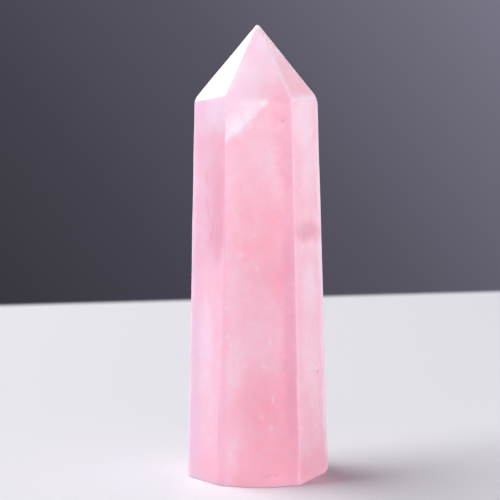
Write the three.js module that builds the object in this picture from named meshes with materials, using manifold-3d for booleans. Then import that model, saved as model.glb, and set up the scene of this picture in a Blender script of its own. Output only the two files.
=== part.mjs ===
// Rose quartz obelisk: one piece of stone, a tapering six-sided shaft under a six-sided point.
//
// It is shaped as the real one is. A rough block is ground flat, face by face, and then every
// edge is eased by a few narrow flats, so nothing is left sharp. The front face is crowned: three
// broad flats that part towards the base, and run together under the point.
//
// Lengths are millimetres and angles are degrees. +Z is up, the base stands on z = 0, and the
// front looks towards -Y.

import * as THREE from "three";
import { mergeVertices } from "three/addons/utils/BufferGeometryUtils.js";
import Module from "manifold-3d";

const wasm = await Module();
wasm.setup();

// Heights. The faces of the point would meet at PEAK, and the tip is worn flat just under it.
const TIP_HEIGHT = 80;
const PEAK = new THREE.Vector3(0.05, 0.2, 80.2);

// The faces of the shaft, in order round the stone. turn is the way a face looks, from the front
// towards +X. out is its distance from the stone's axis at the base. lean tips it inwards. easing
// is the radius that the polish leaves on its edge with the next face.
const SHAFT = {
  left: { turn: -53.3, out: 10.9, lean: 1.4, easing: 1.5 },
  frontLeft: { turn: -18.2, out: 10.75, lean: 1.0, easing: 6 },
  front: { turn: 0, out: 10.75, lean: 1.95, easing: 6 },
  frontRight: { turn: 19.6, out: 10.9, lean: 1.0, easing: 0.6 },
  right: { turn: 64.2, out: 10.6, lean: 1.4, easing: 0.6 },
  rightBack: { turn: 126, out: 11.85, lean: 1.9, easing: 0.6 },
  back: { turn: 180, out: 10.9, lean: 1.3, easing: 0.6 },
  leftBack: { turn: -117.4, out: 10.25, lean: 0.6, easing: 0.6 },
};

// The six edges of the shaft that carry a corner of the point, each between two faces of the
// shaft, in order round the stone. The two faces of the point that meet there were ground one by
// one, so each reaches the edge at its own height: before is that of the face on the first side.
const SHOULDER = [
  { faces: ["leftBack", "left"], before: 67.2, after: 66.45 },
  { faces: ["left", "frontLeft"], before: 67.6, after: 67.1 },
  { faces: ["frontRight", "right"], before: 66.85, after: 66.85 },
  { faces: ["right", "rightBack"], before: 67.55, after: 66.4 },
  { faces: ["rightBack", "back"], before: 67.0, after: 67.0 },
  { faces: ["back", "leftBack"], before: 66.6, after: 66.6 },
];

// The faces of the shaft that each face of the point meets. It runs from one shoulder edge to the
// next, and a little past the edge where it reaches it lower than its neighbour does.
const UNDER_POINT = [
  ["leftBack", "left"],
  ["frontLeft", "front", "frontRight"],
  ["right"],
  ["right", "rightBack"],
  ["back"],
  ["leftBack"],
];

// Radius that the polish leaves on the shaft's top and bottom edges and on the ridges of the point.
const SHOULDER_EASING = 0.4;
const RIDGE_EASING = 0.4;
const BASE_EASING = 0.6;

// Where the narrow flats of an eased edge stand between its two faces.
const FLAT_SHARES = [0.25, 0.5, 0.75];

// The rough block, and the side of the blocks of waste that are ground off it.
const ROUGH = 100;
const WASTE = 300;

const UP = new THREE.Vector3(0, 0, 1);

// A face of the shaft as a plane that looks outwards.
function shaftFace({ turn, out, lean }) {
  const around = THREE.MathUtils.degToRad(turn);
  const tip = THREE.MathUtils.degToRad(lean);
  const level = Math.cos(tip);
  const normal = new THREE.Vector3(Math.sin(around) * level, -Math.cos(around) * level, Math.sin(tip));
  return new THREE.Plane(normal, -out * level);
}

// The point where three planes meet.
function meetingPoint(first, second, third) {
  const point = new THREE.Vector3();
  const ring = [first, second, third];
  ring.forEach((plane, index) => {
    const next = ring[(index + 1) % 3].normal;
    const last = ring[(index + 2) % 3].normal;
    point.addScaledVector(new THREE.Vector3().crossVectors(next, last), -plane.constant);
  });
  const volume = new THREE.Vector3().crossVectors(second.normal, third.normal).dot(first.normal);
  return point.divideScalar(volume);
}

// Where the faces of the point before and after a shoulder edge reach it.
function shoulderCorner(shaft, { faces, before, after }) {
  const [first, second] = faces.map((name) => shaft[name]);
  const at = (height) => meetingPoint(first, second, new THREE.Plane(UP.clone(), -height));
  return { before: at(before), after: at(after) };
}

// A face of the point: the plane through the peak and two corners of the shoulder.
function pointFace(from, to) {
  const plane = new THREE.Plane().setFromCoplanarPoints(PEAK, from, to);
  return plane.constant < 0 ? plane : plane.negate();
}

// The narrow flats that ease the edge between two faces. Each one touches a rounding of the given
// radius that runs along the edge.
function easedEdge(first, second, radius) {
  const angle = first.normal.angleTo(second.normal);
  return FLAT_SHARES.map((share) => {
    const ofFirst = Math.sin((1 - share) * angle) / Math.sin(angle);
    const ofSecond = Math.sin(share * angle) / Math.sin(angle);
    const normal = first.normal.clone().multiplyScalar(ofFirst).addScaledVector(second.normal, ofSecond);
    const inner = ofFirst * (first.constant + radius) + ofSecond * (second.constant + radius);
    return new THREE.Plane(normal, inner - radius);
  });
}

// Each item of a ring with the one that follows it.
function neighbours(ring) {
  return ring.map((item, index) => [item, ring[(index + 1) % ring.length]]);
}

// Every plane that the stone is ground to: its faces, and the flats along their edges.
function stonePlanes() {
  const shaft = Object.fromEntries(Object.entries(SHAFT).map(([name, face]) => [name, shaftFace(face)]));
  const sides = Object.values(shaft);
  const corners = SHOULDER.map((corner) => shoulderCorner(shaft, corner));
  const point = neighbours(corners).map(([from, to]) => pointFace(from.after, to.before));
  const base = new THREE.Plane(UP.clone().negate(), 0);
  const tip = new THREE.Plane(UP.clone(), -TIP_HEIGHT);

  const planes = [base, tip, ...sides, ...point];
  for (const [name, next] of neighbours(Object.keys(SHAFT))) {
    planes.push(...easedEdge(shaft[name], shaft[next], SHAFT[name].easing));
  }
  for (const [face, next] of neighbours(point)) {
    planes.push(...easedEdge(face, next, RIDGE_EASING));
  }
  UNDER_POINT.forEach((names, index) => {
    names.forEach((name) => planes.push(...easedEdge(point[index], shaft[name], SHOULDER_EASING)));
  });
  for (const face of sides) {
    planes.push(...easedEdge(face, base, BASE_EASING));
  }
  return planes;
}

// A closed three.js geometry as a solid.
function toSolid(geometry) {
  geometry.deleteAttribute("normal");
  geometry.deleteAttribute("uv");
  const merged = mergeVertices(geometry);
  return new wasm.Manifold(new wasm.Mesh({
    numProp: 3,
    vertProperties: merged.attributes.position.array,
    triVerts: Uint32Array.from(merged.index.array),
  }));
}

// A solid as a three.js geometry.
function toGeometry(solid) {
  const mesh = solid.getMesh();
  const geometry = new THREE.BufferGeometry();
  geometry.setAttribute("position", new THREE.BufferAttribute(mesh.vertProperties, 3));
  geometry.setIndex(new THREE.BufferAttribute(mesh.triVerts, 1));
  return geometry;
}

// The waste on the outer side of a plane, as a large block that stands on it.
function wasteBlock(plane) {
  const block = new THREE.BoxGeometry(WASTE, WASTE, WASTE);
  const offset = plane.normal.clone().multiplyScalar(-plane.constant);
  block.translate(0, 0, WASTE / 2);
  block.applyQuaternion(new THREE.Quaternion().setFromUnitVectors(UP, plane.normal));
  block.translate(offset.x, offset.y, offset.z);
  return toSolid(block);
}

// The stone, ground out of its rough block and centred over the origin.
function stoneGeometry() {
  const rough = new THREE.BoxGeometry(ROUGH, ROUGH, ROUGH).translate(0, 0, ROUGH / 2);
  const stone = stonePlanes().reduce((solid, plane) => solid.subtract(wasteBlock(plane)), toSolid(rough));
  const geometry = toGeometry(stone);
  geometry.computeBoundingBox();
  const middle = geometry.boundingBox.getCenter(new THREE.Vector3());
  geometry.translate(-middle.x, -middle.y, 0);
  geometry.computeVertexNormals();
  return geometry;
}

const roseQuartz = new THREE.MeshStandardMaterial({ color: 0xf0b9cc, roughness: 0.08, metalness: 0 });

const obelisk = new THREE.Mesh(stoneGeometry(), roseQuartz);
obelisk.name = "obelisk";

const part = new THREE.Group();
part.add(obelisk);

export default part;
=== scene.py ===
"""Rose quartz obelisk: the looks of the stone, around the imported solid."""
import math

import bpy
import numpy as np
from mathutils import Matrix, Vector


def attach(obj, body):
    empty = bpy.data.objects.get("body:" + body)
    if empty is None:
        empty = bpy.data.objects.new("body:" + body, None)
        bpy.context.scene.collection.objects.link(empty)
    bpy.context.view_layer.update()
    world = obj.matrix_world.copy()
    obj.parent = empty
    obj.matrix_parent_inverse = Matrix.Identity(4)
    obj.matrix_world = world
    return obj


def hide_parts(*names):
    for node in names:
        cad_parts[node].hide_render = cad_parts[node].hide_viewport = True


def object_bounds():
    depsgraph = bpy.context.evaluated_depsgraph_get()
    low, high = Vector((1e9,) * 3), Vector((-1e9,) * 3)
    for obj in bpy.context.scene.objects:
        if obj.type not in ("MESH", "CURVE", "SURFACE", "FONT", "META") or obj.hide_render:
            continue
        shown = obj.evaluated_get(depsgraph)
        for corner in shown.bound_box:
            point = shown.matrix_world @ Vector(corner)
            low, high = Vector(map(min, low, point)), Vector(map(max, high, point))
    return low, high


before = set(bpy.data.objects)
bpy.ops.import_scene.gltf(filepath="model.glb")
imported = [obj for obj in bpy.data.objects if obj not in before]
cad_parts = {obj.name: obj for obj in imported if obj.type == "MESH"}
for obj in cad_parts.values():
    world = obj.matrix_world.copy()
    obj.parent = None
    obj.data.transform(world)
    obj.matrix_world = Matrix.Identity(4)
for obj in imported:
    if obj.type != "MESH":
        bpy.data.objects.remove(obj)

cad_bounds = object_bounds()

MM = 0.001
HEIGHT = cad_bounds[1].z / MM


# The ground faces of the stone, read from the solid

FACE_AREA = 45.0  # square mm: every ground face is larger, and every flat along an edge is smaller
NO_AREA = 1e-10  # square metres: a triangle smaller than this has no sure direction
SAME_WAY = 0.99999
SAME_DISTANCE = 0.02  # mm
UPRIGHT = 0.2  # the faces of the shaft look up by less than this
SLOPING = 0.3  # and the faces of the point by more than this


def ground_faces(mesh):
    """The outward normal and the distance in mm of each ground face, from the solid's triangles."""
    found = []
    for polygon in mesh.polygons:
        if polygon.area < NO_AREA:
            continue
        normal = np.array(polygon.normal)
        distance = float(normal @ np.array(polygon.center)) / MM
        area = polygon.area / MM**2
        for face in found:
            apart = abs(face["distance"] - distance)
            if face["normal"] @ normal > SAME_WAY and apart < SAME_DISTANCE:
                if area > face["largest"]:
                    face.update(normal=normal, distance=distance, largest=area)
                face["area"] += area
                break
        else:
            found.append({"normal": normal, "distance": distance, "area": area, "largest": area})
    return [(face["normal"], face["distance"]) for face in found if face["area"] > FACE_AREA]


def turn_of(face):
    """The way a face looks, in degrees from the front towards +X."""
    normal = face[0]
    return math.degrees(math.atan2(normal[0], -normal[1]))


def nearest(faces, turn):
    """The face that looks most nearly the given way."""
    return min(faces, key=lambda face: abs((turn_of(face) - turn + 180) % 360 - 180))


def meet(*faces):
    """The point where three faces meet, in mm."""
    return np.linalg.solve([face[0] for face in faces], [face[1] for face in faces])


BASE = (np.array([0.0, 0.0, -1.0]), 0.0)
TIP = (np.array([0.0, 0.0, 1.0]), HEIGHT)
all_faces = sorted(ground_faces(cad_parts["obelisk"].data), key=turn_of)
shaft = [face for face in all_faces if abs(face[0][2]) < UPRIGHT]
point = [face for face in all_faces if face[0][2] > SLOPING]
over = [nearest(point, turn_of(face)) for face in shaft]
PEAK = meet(point[0], point[2], point[4])

# Where each shaft face meets the next one, at the base and at the shoulder.
following = shaft[1:] + shaft[:1]
base_corners = [meet(face, after, BASE) for face, after in zip(shaft, following)]
shoulder_corners = [meet(face, after, above) for face, after, above in zip(shaft, following, over)]


# The surface: a fine net over the faces, drawn in until every edge is rounded

# The steps of the net in mm: the first one from an edge, how each grows on the last, and the widest.
FINE_STEP = 0.07
STEP_GROWTH = 1.18
WIDEST_STEP = 1.2

# Rough sizes in mm that only set those steps: how wide the base is, and where the point starts.
BASE_WIDTH = 22.0
POINT_START = 64.0


def spread(length):
    """Shares of a length from 0 to 1, close together at both ends."""
    steps = [0.0]
    step = FINE_STEP
    while steps[-1] + step < length / 2:
        steps.append(steps[-1] + step)
        step = min(step * STEP_GROWTH, WIDEST_STEP)
    near = np.array(steps) / length
    return np.concatenate([near, 1 - near[::-1]])


def around(corners):
    """A ring of points through the corners of the shaft, close together beside each one."""
    ring = []
    for index, corner in enumerate(corners):
        before = corners[index - 1]
        width = np.linalg.norm(base_corners[index] - base_corners[index - 1])
        ring += [before + (corner - before) * share for share in spread(width)[:-1]]
    return np.array(ring)


def sharp_net():
    """Rings of points on the sharp-edged stone, from the middle of the base up to the peak."""
    low = around(base_corners)
    high = around(shoulder_corners)
    middle = low.mean(axis=0)
    rings = [middle + (low - middle) * share for share in 2 * spread(BASE_WIDTH) - 1 if 0 < share < 1]
    rings += [low + (high - low) * share for share in spread(HEIGHT)]
    rings += [high + (PEAK - high) * share for share in spread(HEIGHT - POINT_START)[1:-1]]
    return middle, rings


# Radius of the rounding along each kind of edge, in mm. The edge between the left face and the
# crowned front is crisp in its upper half and soft at the base. The one between the front and the
# right face is crisp all the way.
SHAFT_RADIUS = 0.6
CRISP_RADIUS = 0.3
CROWN_RADIUS = 6.0
SOFT_RADIUS = 4.0
SHOULDER_RADIUS = 0.4
FRONT_SHOULDER_RADIUS = 1.6
RIDGE_RADIUS = 0.4
BASE_RADIUS = 0.2
TIP_RADIUS = 0.12
SOFT_BELOW = 40.0  # mm: up to here, the rounding at the base runs over to that of the upper half
LEAST_BLEND = 0.01  # mm

FRONT = nearest(shaft, 0)
FRONT_LEFT = nearest(shaft, -18)
FRONT_RIGHT = nearest(shaft, 20)
LEFT = nearest(shaft, -53)
LEFT_BACK = nearest(shaft, -117)
RIGHT = nearest(shaft, 64)
RIGHT_BACK = nearest(shaft, 126)
CROWN = [FRONT_LEFT, FRONT, FRONT_RIGHT]


def worn_corner(corner, way, depth):
    """A face that takes a corner off: the way it looks, and how far it lies inside the corner in mm."""
    way = np.array(way) / np.linalg.norm(way)
    return way, float(corner @ way) - depth


# The corners that the polish has worn rounder than the rest: one at the foot, two at the shoulder.
WORN = [
    worn_corner(meet(RIGHT, RIGHT_BACK, BASE), (0.9, -0.1, -0.45), 0.35),
    worn_corner(meet(RIGHT, RIGHT_BACK, nearest(point, 64)), (0.88, 0.0, 0.46), 0.4),
    worn_corner(meet(LEFT_BACK, LEFT, nearest(point, -117)), (-0.9, 0.0, 0.43), 0.3),
]
WORN_RADIUS = 1.2

faces = shaft + point + [BASE, TIP] + WORN
normals = np.array([face[0] for face in faces])
distances = np.array([face[1] for face in faces])


def is_in(face, group):
    return any(face is other for other in group)


def radius_between(first, second):
    """The radius of the rounding between two faces, at the base and in the upper half."""
    pair = [first, second]
    in_shaft = [face for face in pair if is_in(face, shaft)]
    if is_in(first, WORN) or is_in(second, WORN):
        return WORN_RADIUS, WORN_RADIUS
    if is_in(BASE, pair):
        return BASE_RADIUS, BASE_RADIUS
    if is_in(TIP, pair):
        return TIP_RADIUS, TIP_RADIUS
    if len(in_shaft) == 2:
        if is_in(first, CROWN) and is_in(second, CROWN):
            return CROWN_RADIUS, CROWN_RADIUS
        if is_in(LEFT, pair) and is_in(FRONT_LEFT, pair):
            return SOFT_RADIUS, CRISP_RADIUS
        if is_in(FRONT_RIGHT, pair) and is_in(RIGHT, pair):
            return CRISP_RADIUS, CRISP_RADIUS
        return SHAFT_RADIUS, SHAFT_RADIUS
    if len(in_shaft) == 1:
        radius = FRONT_SHOULDER_RADIUS if is_in(in_shaft[0], CROWN) else SHOULDER_RADIUS
        return radius, radius
    return RIDGE_RADIUS, RIDGE_RADIUS


def blend_table():
    """How far each two faces run together, in mm, at the base and in the upper half."""
    table = np.zeros((2, len(faces), len(faces)))
    for i, first in enumerate(faces):
        for j, second in enumerate(faces):
            half = math.acos(np.clip(first[0] @ second[0], -1, 1)) / 2
            table[:, i, j] = np.array(radius_between(first, second)) * (1 - math.cos(half)) / math.log(2)
    return table


BLENDS = blend_table()


def gets_edge_highlight(first, second):
    """Whether the edge between two faces gets a painted highlight, paler: every edge of the point but the
    front shoulder.
    """
    pair = [first, second]
    return any(is_in(face, point) for face in pair) and not any(is_in(face, CROWN) for face in pair)


EDGE_HIGHLIGHTS = np.array([[gets_edge_highlight(first, second) for first in faces] for second in faces], dtype=float)
NEAR = 0.12  # mm: how close two faces have to be for their edge to count at a point
LEAST_PAIR = 1e-12  # keeps the sum of the pairs above 0 where a point lies on one face alone

# The faint swell that hand grinding leaves on the faces: the height and length of each wave in mm,
# its direction and its phase.
SWELL = [
    (0.010, 13.0, (0.4, 0.2, 1.0), 0.3),
    (0.007, 8.5, (1.0, -0.6, 0.35), 1.9),
    (0.006, 6.1, (-0.3, 1.0, 0.6), 4.1),
]


def softened(points):
    """How far each point stands out of the rounded stone, in mm, the way out, and its share of the painted
    highlight along the point's edges.
    """
    beyond = points @ normals.T - distances
    share = np.exp((beyond - beyond.max(axis=1, keepdims=True)) / NEAR)
    share /= share.sum(axis=1, keepdims=True)
    rise = np.clip(points[:, 2] / SOFT_BELOW, 0, 1)[:, None, None]
    table = BLENDS[0] + (BLENDS[1] - BLENDS[0]) * rise
    pairs = share[:, :, None] * share[:, None, :]
    pairs[:, range(len(faces)), range(len(faces))] = 0
    # Painted highlight: the edges of the point are made paler where two of its faces meet.
    edge_highlight = 2 * (pairs * EDGE_HIGHLIGHTS).sum(axis=(1, 2))
    pairs += LEAST_PAIR
    blend = (pairs * table).sum(axis=(1, 2)) / pairs.sum(axis=(1, 2))
    blend = np.maximum(blend, LEAST_BLEND)[:, None]
    most = beyond.max(axis=1, keepdims=True)
    weight = np.exp((beyond - most) / blend)
    whole = weight.sum(axis=1, keepdims=True)
    out = (most + blend * np.log(whole))[:, 0]
    for height, length, way, phase in SWELL:
        reach = points @ (np.array(way) / np.linalg.norm(way))
        out += height * np.sin(2 * math.pi * reach / length + phase)
    return out, (weight / whole) @ normals, edge_highlight


DRAWING_ROUNDS = 12  # how often each point is moved towards the surface


def draw_in(points):
    """Moves points of the sharp-edged stone onto the rounded one. Gives their share of painted edge
    highlight too.
    """
    for _ in range(DRAWING_ROUNDS):
        out, way, edge_highlight = softened(points)
        points = points - way * (out / (way**2).sum(axis=1))[:, None]
    points[:, 2] = np.clip(points[:, 2], 0, HEIGHT)
    return points, edge_highlight


def stone_mesh():
    """The rounded stone as one closed mesh."""
    middle, rings = sharp_net()
    count = len(rings[0])
    points, edge_highlight = draw_in(np.vstack([[middle], *rings, [PEAK]]))
    last = len(points) - 1
    quads = []
    for ring in range(len(rings) - 1):
        start = 1 + ring * count
        for column in range(count):
            after = (column + 1) % count
            quads.append((start + column, start + after, start + count + after, start + count + column))
    foot = [(0, 1 + (column + 1) % count, 1 + column) for column in range(count)]
    top = 1 + (len(rings) - 1) * count
    head = [(last, top + column, top + (column + 1) % count) for column in range(count)]
    mesh = bpy.data.meshes.new("stone")
    mesh.from_pydata(points * MM, [], foot + quads + head)
    mesh.validate()
    # The painted highlight along the point's edges goes to the shader as a point attribute.
    mesh.attributes.new("edge_highlight", "FLOAT", "POINT").data.foreach_set("value", edge_highlight)
    for polygon in mesh.polygons:
        polygon.use_smooth = True
    return mesh


def add(name, data):
    thing = bpy.data.objects.new(name, data)
    bpy.context.scene.collection.objects.link(thing)
    return thing


stone = add("stone", stone_mesh())
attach(stone, "root")
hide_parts("obelisk")


# Nodes

def material(name):
    made = bpy.data.materials.new(name)
    made.use_nodes = True
    return made


def node(tree, kind, values=(), **settings):
    """A new node with its settings. values gives its inputs by name or number: numbers or links."""
    made = tree.nodes.new(kind)
    for key, value in settings.items():
        setattr(made, key, value)
    for key, value in dict(values).items():
        if isinstance(value, bpy.types.NodeSocket):
            tree.links.new(value, made.inputs[key])
        else:
            made.inputs[key].default_value = value
    return made


def math_node(tree, operation, *values):
    return node(tree, "ShaderNodeMath", dict(enumerate(values)), operation=operation).outputs[0]


def noise(tree, place, size, detail=3.0, roughness=0.5, seed=0.0, output="Fac"):
    """Noise whose largest lumps are about size mm across."""
    values = {"Vector": place, "W": seed, "Scale": 1 / size, "Detail": detail, "Roughness": roughness}
    return node(tree, "ShaderNodeTexNoise", values, noise_dimensions="4D").outputs[output]


def remap(tree, value, low, high, to_low=0.0, to_high=1.0, smooth=True):
    """A value carried from one range to another, and held at its ends."""
    kind = "SMOOTHSTEP" if smooth else "LINEAR"
    values = {0: value, 1: low, 2: high, 3: to_low, 4: to_high}
    return node(tree, "ShaderNodeMapRange", values, interpolation_type=kind).outputs[0]


def mix(tree, share, first, second):
    """Two colours, mixed."""
    values = {0: share, 6: first, 7: second}
    return node(tree, "ShaderNodeMix", values, data_type="RGBA").outputs[2]


def lump(tree, place, mark):
    """The strength of a mark in the middle of its soft lump in the stone, and 0 from its edge outwards."""
    _, middle, size, tilt, turn, strength = mark
    inner = node(tree, "ShaderNodeMapping", {
        "Vector": place,
        "Location": middle,
        "Rotation": (0, math.radians(tilt), math.radians(turn)),
        "Scale": size,
    }, vector_type="TEXTURE")
    # The gradient falls from 1 in the middle to 0 at the edge.
    ball = node(tree, "ShaderNodeTexGradient", {"Vector": inner.outputs[0]}, gradient_type="SPHERICAL")
    return remap(tree, ball.outputs["Fac"], 0.0, LUMP_SLOPE, 0.0, strength)


def vector_node(tree, operation, first, second):
    return node(tree, "ShaderNodeVectorMath", {0: first, 1: second}, operation=operation).outputs[0]


def scaled(tree, vector, factor):
    values = {0: vector, "Scale": factor}
    return node(tree, "ShaderNodeVectorMath", values, operation="SCALE").outputs[0]


def along(tree, place, way):
    """How far a place lies along the given way."""
    dot = node(tree, "ShaderNodeVectorMath", {0: place, 1: way}, operation="DOT_PRODUCT")
    return dot.outputs["Value"]


def total(tree, values):
    result = values[0]
    for value in values[1:]:
        result = math_node(tree, "ADD", result, value)
    return result


# The markings in the stone, some of them painted light: what each one is, its middle and half sizes in mm,
# how far it leans towards the right, the way the face that shows it looks, and its strength. A half size
# is given along the face, into the stone and up. A tone mark is paler where its strength is above 0. The
# strength of any other mark is its share of the colour that its list is named for.
TONE_MARKS = [
    # The haze at the top of the front is a painted reflection of the light in front and above.
    ("haze at the top of the front", (-3.6, -8.7, 63.2), (3.4, 3.0, 4.2), 30, 0, 0.3),
    ("upper front", (-0.6, -8.9, 57.0), (6.0, 4.0, 14.0), 0, 0, 0.13),
    ("above the waist", (-0.8, -8.9, 51.0), (5.5, 3.0, 6.0), 0, 0, -0.16),
    ("front, left part", (-4.6, -9.2, 40.0), (2.6, 3.0, 26.0), 0, 0, 0.14),
    ("waist of the front, left part", (-4.0, -9.2, 45.0), (3.4, 3.0, 9.0), 0, 0, -0.08),
    ("middle of the front, right part", (2.0, -9.7, 36.4), (3.8, 3.0, 5.6), 0, 0, -0.14),
    ("below the middle of the front", (-0.5, -9.9, 23.5), (5.5, 3.0, 6.5), 0, 0, 0.10),
    ("front, right of the middle", (1.4, -9.2, 46.0), (3.8, 2.5, 6.0), 0, 0, -0.13),
    ("mottled band", (2.4, -9.0, 54.5), (1.6, 2.0, 6.0), -14, 0, 0.10),
    ("front, low on the left", (-4.4, -9.5, 20.0), (2.4, 2.5, 8.5), 8, 0, 0.19),
    ("foot, left part", (-4.9, -9.7, 4.0), (2.2, 2.5, 7.0), 0, 0, 0.26),
    ("middle of the front", (3.2, -9.4, 41.0), (3.4, 3.0, 11.0), 0, 0, -0.13),
    ("right of the middle, low", (5.8, -8.8, 33.2), (2.6, 2.2, 6.0), 0, 0, 0.24),
    ("waist of the front", (-0.6, -9.4, 41.0), (5.2, 3.0, 3.6), 4, 0, -0.26),
    ("foot of the front", (1.4, -10.4, 13.0), (6.8, 4.0, 13.0), -10, 0, -0.21),
    ("beside the right edge", (5.9, -8.6, 54.0), (3.2, 2.5, 17.0), 0, 0, 0.04),
    ("right end of the front shoulder", (3.8, -8.7, 65.0), (2.8, 2.5, 3.0), 0, 0, -0.06),
    ("along the right edge, high", (5.8, -8.5, 56.0), (1.8, 2.5, 10.0), 0, 0, 0.25),
    ("along the right edge, low", (6.4, -8.9, 28.5), (1.8, 2.5, 20.0), -1, 0, 0.32),
    ("beside the right edge, low", (6.9, -9.0, 20.0), (2.6, 2.5, 30.0), -1, 0, -0.03),
    ("top of the right face", (7.8, -4.0, 63.5), (5.5, 2.5, 6.5), 0, 64, 0.36),
    ("upper right face", (8.5, -3.0, 55.0), (4.5, 2.5, 9.0), 0, 64, 0.20),
    ("below the blot", (8.8, -3.4, 34.0), (5.0, 2.5, 6.0), 0, 64, 0.24),
    ("middle right face", (9.0, -3.0, 22.0), (5.0, 2.5, 15.0), 0, 64, 0.14),
    # The right border marks are a painted highlight: the pale rim that light from behind on the right
    # gives the right silhouette.
    ("right border", (11.4, 1.6, 33.0), (2.2, 2.0, 46.0), -1.9, 64, 0.40),
    ("right border, high", (10.9, 0.9, 55.0), (2.0, 2.0, 13.0), -1.9, 64, 0.22),
    ("right border, low", (12.0, 2.0, 12.0), (2.2, 2.0, 15.0), -1.9, 64, 0.34),
    ("foot of the right face", (8.6, -4.8, 12.0), (3.4, 2.5, 7.0), 0, 64, -0.10),
    ("top of the left face", (-9.2, -3.8, 65.0), (4.8, 3.0, 6.0), 0, -53, 0.62),
    ("top of the left face, beside the edge", (-6.6, -8.0, 63.8), (3.0, 2.5, 6.0), 0, -53, 0.42),
    ("upper left face", (-9.4, -4.4, 50.0), (4.6, 2.5, 15.0), 0, -53, 0.15),
    ("left edge, below the blot", (-6.4, -8.4, 34.8), (1.9, 2.2, 3.6), 0, -53, -0.18),
    ("middle of the left face", (-8.9, -5.0, 23.0), (4.2, 2.5, 12.0), -4, -53, 0.40),
    ("streak low on the left face", (-8.9, -5.4, 27.5), (0.9, 1.5, 8.5), -8, -53, 0.3),
    ("cloud low on the left face", (-10.0, -4.3, 17.0), (1.6, 1.5, 3.2), 10, -53, 0.3),
    ("cloud at the foot of the left face", (-8.3, -6.9, 13.5), (1.3, 1.5, 2.6), 0, -53, 0.15),
    ("foot of the left face", (-9.8, -5.6, 1.0), (4.0, 2.5, 5.0), 0, -53, -0.14),
    ("foot of the right face, beside the edge", (7.8, -7.6, 2.5), (2.4, 2.5, 3.6), 0, 64, -0.16),
    ("left border", (-11.9, -1.5, 38.0), (1.6, 2.0, 45.0), 1.1, -53, 0.27),
    # The paler marks on the front point face, the front shoulder and the tip are a painted reflection of
    # the light above.
    ("front point face", (-0.8, -5.2, 71.0), (5.5, 4.5, 8.5), 10, 0, 0.6),
    ("front shoulder", (-3.6, -8.0, 67.6), (4.4, 2.5, 2.8), 0, 0, 0.5),
    ("left part of the front point face", (-2.6, -5.8, 71.0), (2.8, 4.0, 6.5), 20, 0, 0.18),
    ("between the tip and the front point face", (-0.4, -2.6, 76.0), (2.8, 3.0, 3.4), 0, 0, 0.42),
    ("tip", (-0.3, -1.0, 78.5), (2.6, 3.0, 4.0), 0, 0, 0.2),
    ("right point face, low", (8.3, -1.8, 69.3), (3.5, 3.5, 3.5), 0, 64, -0.08),
    ("right point face, high", (2.6, -1.8, 75.8), (2.6, 3.0, 4.5), -30, 64, 0.28),
]
MAUVE_MARKS = [
    ("shade along the left edge", (-6.6, -8.0, 49.5), (5.6, 3.0, 12.5), 0, -53, 0.52),
    ("shade under the left shoulder", (-6.4, -8.2, 63.0), (2.8, 2.5, 7.0), 0, -53, 0.34),
    ("blot beside the left edge", (-7.1, -7.3, 42.0), (3.6, 2.4, 4.6), 0, -53, 0.26),
    ("streak", (-9.3, -4.6, 53.5), (0.7, 1.5, 2.6), -10, -53, 0.4),
    ("second streak", (-9.0, -4.9, 48.0), (0.5, 1.5, 3.0), -14, -53, 0.35),
    ("third streak", (-8.1, -6.1, 44.5), (0.5, 1.5, 3.4), 8, -53, 0.3),
    ("dot on the left edge", (-6.9, -8.8, 17.1), (0.3, 0.5, 0.4), 0, -53, 0.6),
    ("line at the foot", (-6.9, -8.8, 10.0), (0.45, 1.2, 8.0), 0, -53, 0.45),
    ("blot on the right face", (8.7, -3.6, 43.9), (9.0, 3.0, 2.6), 5, 64, 0.86),
    # The right strip of the front, with its high and low parts, is painted shade: the dark band beside the
    # edge with the right face.
    ("right strip of the front", (6.0, -8.7, 36.0), (3.6, 2.5, 44.0), -0.5, 0, 0.7),
    ("right strip of the front, high", (5.4, -8.6, 59.0), (3.2, 2.5, 11.0), 0, 0, 0.25),
    ("right end of the front shoulder", (3.6, -8.7, 64.8), (2.6, 2.5, 3.4), 0, 0, 0.22),
    ("right strip of the front, low", (6.0, -9.4, 11.0), (4.0, 2.5, 15.0), 0, 0, 0.32),
    ("dot near the shoulder", (4.1, -8.7, 63.2), (0.3, 0.5, 0.5), 20, 0, 0.5),
    ("scratch at the foot", (1.5, -10.8, 1.9), (1.5, 0.6, 0.42), -8, 0, 0.8),
    ("second scratch at the foot", (3.0, -10.7, 2.15), (0.7, 0.6, 0.42), -20, 0, 0.9),
    ("pit on the right face", (10.4, -1.2, 18.8), (0.7, 0.6, 0.45), 0, 64, 0.8),
]
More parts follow.
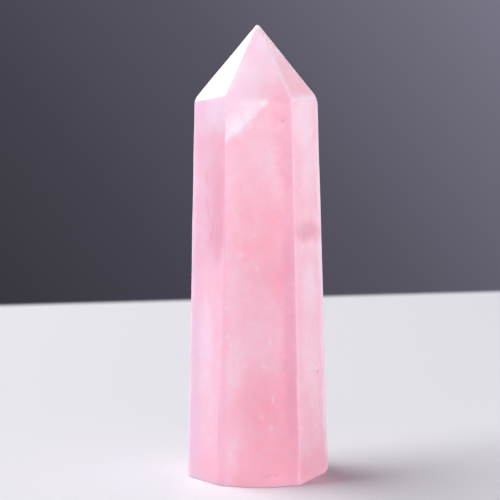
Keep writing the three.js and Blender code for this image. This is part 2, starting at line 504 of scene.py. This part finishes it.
WHITE_MARKS = [
    ("fleck", (-0.7, -9.3, 43.6), (0.48, 0.6, 0.5), 0, 0, 0.18),
    ("fleck", (-0.3, -9.5, 37.9), (0.66, 0.72, 0.72), 0, 0, 0.21),
    ("fleck", (-3.2, -9.5, 40.1), (0.84, 0.72, 0.5), 0, 0, 0.21),
    ("fleck", (1.9, -10.0, 25.3), (0.5, 0.6, 0.72), 0, 0, 0.24),
    ("flat fleck", (0.9, -10.1, 21.0), (1.08, 0.72, 0.38), 0, 0, 0.24),
    ("sliver", (2.4, -10.3, 15.3), (0.41, 0.72, 1.08), 0, 0, 0.24),
    ("fleck", (0.4, -10.4, 12.3), (0.72, 0.72, 0.54), 30, 0, 0.21),
    ("fleck", (2.1, -10.5, 10.4), (0.66, 0.72, 0.72), 0, 0, 0.27),
    ("fleck", (-2.4, -10.1, 21.3), (0.48, 0.6, 0.48), 0, 0, 0.21),
    ("fleck", (-4.9, -9.5, 24.8), (0.6, 0.6, 0.6), 0, 0, 0.3),
    ("fleck", (-5.5, -9.1, 31.1), (0.6, 0.72, 0.48), 0, 0, 0.24),
    ("fleck", (-5.4, -9.2, 26.1), (0.6, 0.72, 0.72), 0, 0, 0.24),
    ("rim of the pit", (10.1, -1.6, 19.5), (0.9, 0.6, 0.4), 0, 64, 0.4),
    ("spot", (-5.0, -9.7, 5.6), (0.72, 0.72, 0.6), 0, 0, 0.24),
]
# Painted reflection: a cool pale haze on the upward faces of the point and under the left shoulder, where
# they mirror the light above.
REFLECTION_MARKS = [
    ("haze on the front point face", (-2.2, -5.8, 71.2), (4.6, 4.5, 8.0), 14, 0, 0.34),
    ("haze under the tip", (0.8, -2.0, 76.4), (2.4, 3.0, 3.4), 0, 0, 0.3),
    ("haze under the left shoulder", (-7.6, -6.8, 64.6), (5.0, 3.0, 4.6), 0, -53, 0.36),
]
LUMP_SLOPE = 0.75  # the outer share of a mark's size, over which it fades
SMALL_MARK = 0.8  # mm: a mark with a smaller half size along its face isn't stirred much

# The markings of the left face, the front and the right face stop sharply where these faces meet:
# on the left only in the upper half, and in the point not at all. Two planes part them: the way
# across the edge, and its distance in mm.
LEFT_END = ((0.811, -0.584, 0.0089), 0.95)
RIGHT_START = ((0.744, 0.668, 0.0093), -0.65)
PARTING_BLUR = 0.25
PARTED_BELOW = (66.3, 66.9)
LEFT_PARTED_ABOVE = (40.0, 36.0)

# The stone is deeper in colour at its foot.
FOOT_HEIGHT = 9.0
FOOT_TONE = -0.32

# A white veil fills the top left of the front, over a slanting plane: the way out of its lower side,
# and the distance of that side in mm. It is whitest along it.
VEIL_WAY = (0.70, 0.0, -0.71)
VEIL_SIDE = -45.6
VEIL_BLUR = 0.8
VEIL_WHITEST = 1.0
VEIL_FADE = 4.5
VEIL_FAINTEST = 0.3
VEIL_TOP = ((0.0, 0.0, 1.0), 68.0)
VEIL_TOP_BLUR = 2.0
VEIL_STRENGTH = 0.68

# Each noise: the size of its largest lumps in mm, its detail, roughness and seed.
STIR_NOISE = (2.6, 4.0, 0.62, 3.0)
CLOUD_NOISE = (9.0, 2.0, 0.5, 11.0)
MOTTLE_NOISE = (2.4, 5.0, 0.6, 5.0)
GRAIN_NOISE = (0.5, 2.0, 0.6, 8.0)
HAZE_NOISE = (1.8, 4.0, 0.6, 31.0)
WISP_NOISE = (3.0, 5.0, 0.65, 21.0)

# What each noise is carried to, from the range that most of it lies in.
NOISE_RANGE = (0.3, 0.7)
CLOUD_TONE = (0.59, 0.75)
MOTTLE_TONE = (-0.10, 0.10)
GRAIN_TONE = (-0.03, 0.03)
HAZE_SHARE = (0.0, 0.2)
WISP_RANGE = (0.35, 0.6)
WISP_SHARE = (0.5, 1.0)

# How far the noise moves the places of the marks in mm, and its share for small marks and the veil.
STIR = 3.2
SMALL_MARK_STIR = 0.15
VEIL_STIR = 0.5

EDGE_HIGHLIGHT_TONE = 0.3  # how much paler the painted highlight makes an edge of the point

# Colours in linear light: the stone's own, from deep to pale pink, then those of its marks, of its painted
# reflection, and of its tinge.
TONES = [(0.0, (0.99, 0.33, 0.41)), (0.5, (0.98, 0.47, 0.575)), (1.0, (0.96, 0.68, 0.785))]
WHITE = (0.96, 0.90, 0.95, 1)
MAUVE = (0.80, 0.385, 0.505, 1)
# The cool colour of the painted reflection of the light above.
REFLECTION_TINT = (0.84, 0.86, 0.96, 1)
LILAC = (0.66, 0.51, 0.65, 1)

# The polish of the surface, and how far light travels in the stone: its reach in mm, and the share of
# that for red, green and blue.
POLISH = 0.06
QUARTZ_IOR = 1.54
SCATTER_REACH = 5.0
SCATTER_SHARES = (1.0, 0.6, 0.7)

# The left side of the stone is tinged with lilac, and most of all low along its left border: where
# the tinge starts, where it is full, and its share at each. The border's tinge also grows downwards.
LILAC_SIDE = (-4.8, -7.4, 0.0, 0.38)
BORDER = (-9.0, -12.0, 0.0, 0.42)
BORDER_BELOW = (45.0, 30.0)


def inside(tree, place, way, distance, blur):
    """1 inside a plane that looks the given way, and 0 outside it, with a blurred edge."""
    return remap(tree, along(tree, place, way), distance, distance - blur)


def parted(tree, place, height):
    """Where the marks of each face count: by the way that the face looks, 0 or 1."""
    in_point = remap(tree, height, *PARTED_BELOW)
    loose = math_node(tree, "MAXIMUM", in_point, remap(tree, height, *LEFT_PARTED_ABOVE))
    left = inside(tree, place, *LEFT_END, PARTING_BLUR)
    before_right = inside(tree, place, *RIGHT_START, PARTING_BLUR)
    after_left = math_node(tree, "MAXIMUM", math_node(tree, "SUBTRACT", 1.0, left), loose)
    front = math_node(tree, "MULTIPLY", after_left, before_right)
    right = math_node(tree, "SUBTRACT", 1.0, before_right)
    return {
        -53: math_node(tree, "MAXIMUM", left, loose),
        0: math_node(tree, "MAXIMUM", front, in_point),
        64: math_node(tree, "MAXIMUM", right, in_point),
    }


def marked(tree, stirred, nudged, sides, marks):
    """The sum of a list of marks."""
    parts = []
    for turn, side in sides.items():
        lumps = [
            lump(tree, nudged if mark[2][0] < SMALL_MARK else stirred, mark)
            for mark in marks if mark[4] == turn
        ]
        if lumps:
            parts.append(math_node(tree, "MULTIPLY", total(tree, lumps), side))
    return total(tree, parts)


def veil(tree, place):
    """How white the veil is at a point, from 0 to 1."""
    out = along(tree, place, VEIL_WAY)
    side = remap(tree, out, VEIL_SIDE, VEIL_SIDE - VEIL_BLUR)
    fade = remap(tree, out, VEIL_SIDE - VEIL_WHITEST, VEIL_SIDE - VEIL_FADE, 1.0, VEIL_FAINTEST)
    below_top = inside(tree, place, *VEIL_TOP, VEIL_TOP_BLUR)
    return math_node(tree, "MULTIPLY", math_node(tree, "MULTIPLY", side, fade), below_top)


def tone_of(tree, place, stirred, nudged, sides, height):
    """How pale the stone is at a place, from 0, deep pink, to 1."""
    clouds = noise(tree, place, *CLOUD_NOISE)
    mottle = noise(tree, stirred, *MOTTLE_NOISE)
    grain = noise(tree, place, *GRAIN_NOISE)
    edge_highlight = node(tree, "ShaderNodeAttribute", attribute_name="edge_highlight").outputs["Fac"]
    return total(tree, [
        remap(tree, clouds, *NOISE_RANGE, *CLOUD_TONE, smooth=False),
        remap(tree, mottle, *NOISE_RANGE, *MOTTLE_TONE, smooth=False),
        remap(tree, grain, *NOISE_RANGE, *GRAIN_TONE, smooth=False),
        remap(tree, height, 0.0, FOOT_HEIGHT, FOOT_TONE, 0.0, smooth=False),
        marked(tree, stirred, nudged, sides, TONE_MARKS),
        # The painted highlight along the edges of the point.
        math_node(tree, "MULTIPLY", edge_highlight, EDGE_HIGHLIGHT_TONE),
    ])


def tone_colour(tree, tone):
    """The stone's own colour for a tone."""
    ramp = node(tree, "ShaderNodeValToRGB", {0: tone})
    stops = ramp.color_ramp.elements
    while len(stops) < len(TONES):
        stops.new(0.5)
    for stop, (share, colour) in zip(stops, TONES):
        stop.position = share
        stop.color = [*colour, 1]
    return ramp.outputs["Color"]


def quartz_material():
    """Cloudy pink quartz. All its markings are functions of the place in the stone."""
    made = material("rose_quartz")
    tree = made.node_tree
    place = scaled(tree, node(tree, "ShaderNodeTexCoord").outputs["Object"], 1 / MM)

    # The places are stirred, so that the markings fray at their edges.
    stir = noise(tree, place, *STIR_NOISE, "Color")
    stir = scaled(tree, vector_node(tree, "SUBTRACT", stir, (0.5, 0.5, 0.5)), STIR)
    stirred = vector_node(tree, "ADD", place, stir)
    nudged = vector_node(tree, "ADD", place, scaled(tree, stir, SMALL_MARK_STIR))
    for_veil = vector_node(tree, "ADD", place, scaled(tree, stir, VEIL_STIR))

    across, _, height = node(tree, "ShaderNodeSeparateXYZ", {0: place}).outputs
    sides = parted(tree, place, height)
    colour = tone_colour(tree, tone_of(tree, place, stirred, nudged, sides, height))

    border = math_node(tree, "MULTIPLY", remap(tree, across, *BORDER), remap(tree, height, *BORDER_BELOW))
    tinge = math_node(tree, "ADD", remap(tree, across, *LILAC_SIDE), border)
    colour = mix(tree, tinge, colour, LILAC)
    haze = remap(tree, noise(tree, stirred, *HAZE_NOISE), *NOISE_RANGE, *HAZE_SHARE, smooth=False)
    shade = math_node(tree, "ADD", marked(tree, stirred, nudged, sides, MAUVE_MARKS), haze)
    colour = mix(tree, shade, colour, MAUVE)
    # The painted reflection of the light above, cool and pale.
    colour = mix(tree, marked(tree, stirred, nudged, sides, REFLECTION_MARKS), colour, REFLECTION_TINT)
    wisps = remap(tree, noise(tree, stirred, *WISP_NOISE), *WISP_RANGE, *WISP_SHARE)
    pale = math_node(tree, "MULTIPLY", veil(tree, for_veil), wisps)
    pale = math_node(tree, "MULTIPLY", pale, VEIL_STRENGTH)
    pale = math_node(tree, "MULTIPLY", pale, sides[0])
    white = math_node(tree, "MAXIMUM", pale, marked(tree, nudged, nudged, sides, WHITE_MARKS))
    colour = mix(tree, white, colour, WHITE)

    shader = tree.nodes["Principled BSDF"]
    tree.links.new(colour, shader.inputs["Base Color"])
    shader.inputs["Roughness"].default_value = POLISH
    shader.inputs["IOR"].default_value = QUARTZ_IOR
    shader.inputs["Subsurface Weight"].default_value = 1.0
    shader.inputs["Subsurface Radius"].default_value = SCATTER_SHARES
    shader.inputs["Subsurface Scale"].default_value = SCATTER_REACH * MM
    return made


stone.data.materials.append(quartz_material())


# The table, and the dark room behind it

# Sizes in mm: how far the table reaches to the front and the sides, and where its far edge is.
TABLE = 900.0
TABLE_EDGE = 263.0
TABLE_FADE = 8.0  # the far edge is out of focus in the photo, and fades by this much on both sides
TABLE_TURN = 13.6
TABLE_GAP = 0.02  # under the stone, so that no light is lost between two faces at one height
TABLE_WHITE = (0.89, 0.885, 0.925, 1)
TABLE_ROUGHNESS = 0.6
TABLE_GLOSS = 0.15

table_mesh = bpy.data.meshes.new("table")
far = TABLE_EDGE + TABLE_FADE
corners = [(-TABLE, -TABLE), (TABLE, -TABLE), (TABLE, far), (-TABLE, far)]
table_mesh.from_pydata([(x * MM, y * MM, 0) for x, y in corners], [], [(0, 1, 2, 3)])
table = add("table", table_mesh)
table.rotation_euler = (0, 0, math.radians(TABLE_TURN))
table.location.z = -TABLE_GAP * MM
white = material("table_white")
shader = white.node_tree.nodes["Principled BSDF"]
shader.inputs["Base Color"].default_value = TABLE_WHITE
shader.inputs["Roughness"].default_value = TABLE_ROUGHNESS
shader.inputs["Specular IOR Level"].default_value = TABLE_GLOSS
depth = node(white.node_tree, "ShaderNodeTexCoord").outputs["Object"]
depth = node(white.node_tree, "ShaderNodeSeparateXYZ", {0: depth}).outputs[1]
near_edge = (TABLE_EDGE - TABLE_FADE) * MM
fading = remap(white.node_tree, depth, near_edge, far * MM, 1.0, 0.0)
white.node_tree.links.new(fading, shader.inputs["Alpha"])
table.data.materials.append(white)

# In the picture, the room is darkest low on the left and lightest high on the right. Well beyond it,
# the room is dark again. Each stop is a distance along the way, and the light there.
ROOM_WAY = (0.775, 0.0, 0.632)
ROOM_TINT = (1.05, 1.0, 1.33)
ROOM_STOPS = [(-0.20, 0.035), (-0.10, 0.056), (0.0, 0.0905), (0.10, 0.150), (0.17, 0.20), (0.40, 0.04)]

# The lower part of the room is pale in front and on the right.
PALE_WAY = (0.5, -0.87, 0.0)
PALE_SIDE = (0.0, 0.5)
PALE_TOP = (0.45, 0.10)
PALE_LIGHT = 1.75


def room():
    """A world that is dark behind the stone, where its light grows slowly one way, and pale before it."""
    world = bpy.data.worlds.new("room")
    world.use_nodes = True
    tree = world.node_tree
    way = node(tree, "ShaderNodeTexCoord").outputs["Generated"]
    low, high = ROOM_STOPS[0][0], ROOM_STOPS[-1][0]
    share = node(tree, "ShaderNodeMapRange", {0: along(tree, way, ROOM_WAY), 1: low, 2: high})
    ramp = node(tree, "ShaderNodeValToRGB", {0: share.outputs[0]})
    stops = ramp.color_ramp.elements
    while len(stops) < len(ROOM_STOPS):
        stops.new(0.5)
    for stop, (place, light) in zip(stops, ROOM_STOPS):
        stop.position = (place - low) / (high - low)
        stop.color = [light * tint for tint in ROOM_TINT] + [1]
    out = along(tree, way, PALE_WAY)
    rise = node(tree, "ShaderNodeSeparateXYZ", {0: way}).outputs[2]
    pale = math_node(tree, "MULTIPLY", remap(tree, out, *PALE_SIDE), remap(tree, rise, *PALE_TOP))
    pale = math_node(tree, "MULTIPLY", pale, PALE_LIGHT)
    light = vector_node(tree, "ADD", ramp.outputs["Color"], pale)
    tree.links.new(light, tree.nodes["Background"].inputs["Color"])
    tree.nodes["Background"].inputs["Strength"].default_value = 1.0
    return world


bpy.context.scene.world = room()


# Lights

# Soft boxes: name, the way from the stone, distance, width and height in mm, and radiance.
SOFTBOXES = [
    ("key", (-0.709, 0.125, 0.695), 2200, 3020, 1410, 5.25),
    ("front_fill", (-0.10, -0.74, 0.66), 1000, 700, 450, 0.5),
    ("side", (0.76, 0.65, 0.02), 900, 420, 340, 0.75),
    ("back", (0.507, 0.769, 0.39), 1000, 330, 300, 0.9),
]


def softbox(name, way, distance, width, height, radiance, aim=HEIGHT / 2, beam=180):
    """An area light that looks at the stone from the given way. radiance is how bright it looks."""
    data = bpy.data.lights.new(name, "AREA")
    data.shape = "RECTANGLE"
    data.size = width * MM
    data.size_y = height * MM
    data.energy = radiance * math.pi * width * height * MM**2
    data.spread = math.radians(beam)
    lamp = add(name, data)
    way = Vector(way).normalized()
    lamp.location = way * distance * MM + Vector((0, 0, aim)) * MM
    lamp.rotation_mode = "QUATERNION"
    lamp.rotation_quaternion = (-way).to_track_quat("-Z", "Y")
    lamp.visible_camera = False
    return lamp


for box in SOFTBOXES:
    softbox(*box)
# These stand for the light that crosses the clear parts of the stone, and fall on it alone. The
# second is a narrow low beam at its foot, and the third is the light that the table sends back up.
inner_fill = [
    softbox("right_fill", (0.93, -0.36, 0.35), 1000, 700, 500, 3.8),
    softbox("foot_fill", (0.80, -0.60, 0.05), 120, 60, 3, 0.3, aim=0.0, beam=2),
    softbox("under_fill", (0.0, 0.0, -1.0), 20, 40, 40, 0.33, aim=0.0),
]
stone_alone = bpy.data.collections.new("stone_alone")
stone_alone.objects.link(stone)
for lamp in inner_fill:
    lamp.light_linking.receiver_collection = stone_alone
    lamp.light_linking.blocker_collection = stone_alone


# The camera

camera = add("camera", bpy.data.cameras.new("camera"))
CAMERA_PLACE = Vector((-1.53, -310.08, 68.0)) * MM
CAMERA_DIP = 5.10
CAMERA_LENS = 126.68
CAMERA_SENSOR = 36
CAMERA_NEAR = 10
camera.data.lens = CAMERA_LENS
camera.data.sensor_width = CAMERA_SENSOR
camera.data.clip_start = CAMERA_NEAR * MM
camera.location = CAMERA_PLACE
camera.rotation_euler = (math.radians(90 - CAMERA_DIP), 0, 0)
bpy.context.scene.camera = camera
bpy.context.scene.view_settings.view_transform = "Standard"
